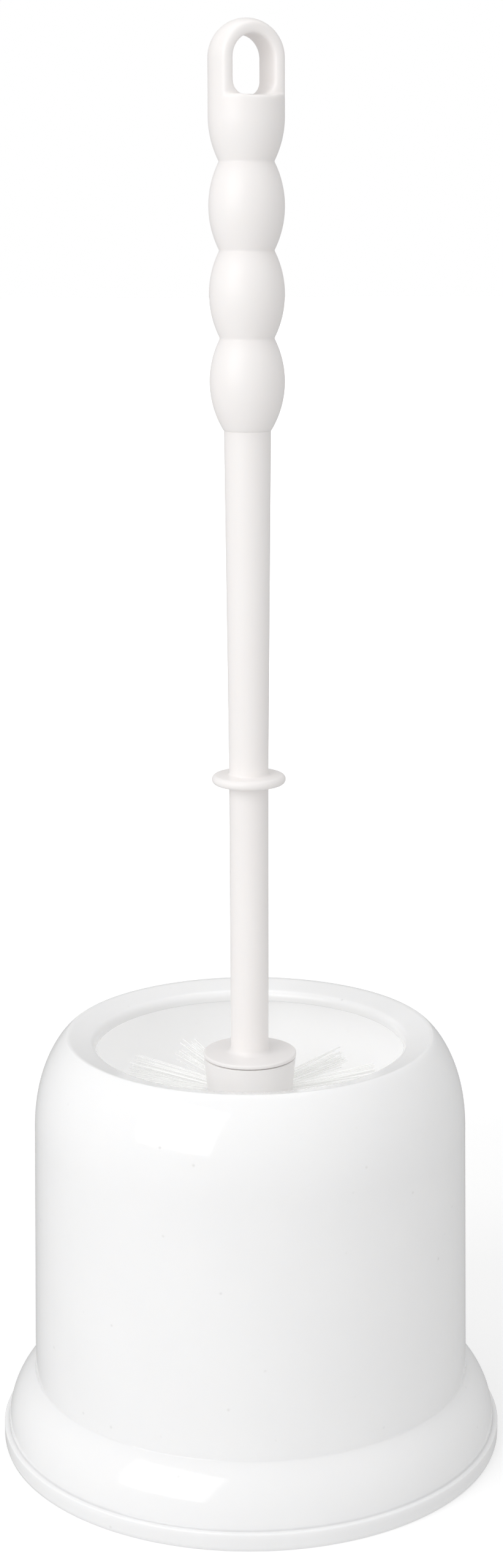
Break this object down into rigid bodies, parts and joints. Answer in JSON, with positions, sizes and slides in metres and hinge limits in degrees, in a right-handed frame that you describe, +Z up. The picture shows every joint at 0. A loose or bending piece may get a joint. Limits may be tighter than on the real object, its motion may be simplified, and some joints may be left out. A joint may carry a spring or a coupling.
{
  "type": "toilet brush with holder",
  "caption": "Round-headed toilet brush with a beaded handle and a hanging loop, standing in a bell-shaped plastic holder with an in-turned rim and a flared foot.",
  "frame": {"origin": "on the floor, under the middle of the holder, which is the brush's own axis too", "axes": "+Z up along the handle, -Y towards the front; the hanging loop's hole runs 27 degrees off the Y axis"},
  "size_m": [0.1422, 0.1422, 0.3918],
  "materials": {
    "holder_plastic": "glossy white polypropylene",
    "base_plastic": "satin white polypropylene",
    "handle_plastic": "satin-gloss warm white polypropylene",
    "head_plastic": "satin warm white polypropylene",
    "bristle": "fine translucent white filament"
  },
  "bodies": {
    "holder": {"holder_shell": "holder_plastic", "holder_base": "base_plastic"},
    "brush": {"brush_handle": "handle_plastic", "brush_head": "head_plastic", "tuft_1_01": "bristle", "tuft_1_02": "bristle", "tuft_1_03": "bristle", "tuft_1_04": "bristle", "tuft_1_05": "bristle", "tuft_1_06": "bristle", "tuft_1_07": "bristle", "tuft_1_08": "bristle", "tuft_1_09": "bristle", "tuft_1_10": "bristle", "tuft_2_01": "bristle", "tuft_2_02": "bristle", "tuft_2_03": "bristle", "tuft_2_04": "bristle", "tuft_2_05": "bristle", "tuft_2_06": "bristle", "tuft_2_07": "bristle", "tuft_2_08": "bristle", "tuft_2_09": "bristle", "tuft_2_10": "bristle", "tuft_3_01": "bristle", "tuft_3_02": "bristle", "tuft_3_03": "bristle", "tuft_3_04": "bristle", "tuft_3_05": "bristle", "tuft_3_06": "bristle", "tuft_3_07": "bristle", "tuft_3_08": "bristle", "tuft_3_09": "bristle", "tuft_3_10": "bristle", "tuft_4_01": "bristle", "tuft_4_02": "bristle", "tuft_4_03": "bristle", "tuft_4_04": "bristle", "tuft_4_05": "bristle", "tuft_4_06": "bristle", "tuft_4_07": "bristle", "tuft_4_08": "bristle", "tuft_4_09": "bristle", "tuft_4_10": "bristle", "tuft_5_01": "bristle", "tuft_5_02": "bristle", "tuft_5_03": "bristle", "tuft_5_04": "bristle", "tuft_5_05": "bristle", "tuft_5_06": "bristle", "tuft_5_07": "bristle", "tuft_5_08": "bristle", "tuft_5_09": "bristle", "tuft_6_01": "bristle", "tuft_6_02": "bristle", "tuft_6_03": "bristle", "tuft_6_04": "bristle", "tuft_6_05": "bristle", "tuft_7_01": "bristle"}
  },
  "joints": [
    {"name": "brush_lift", "type": "slide", "parent": "holder", "child": "brush", "axis": [0, 0, 1], "range_m": [0, 0.13]}
  ]
}
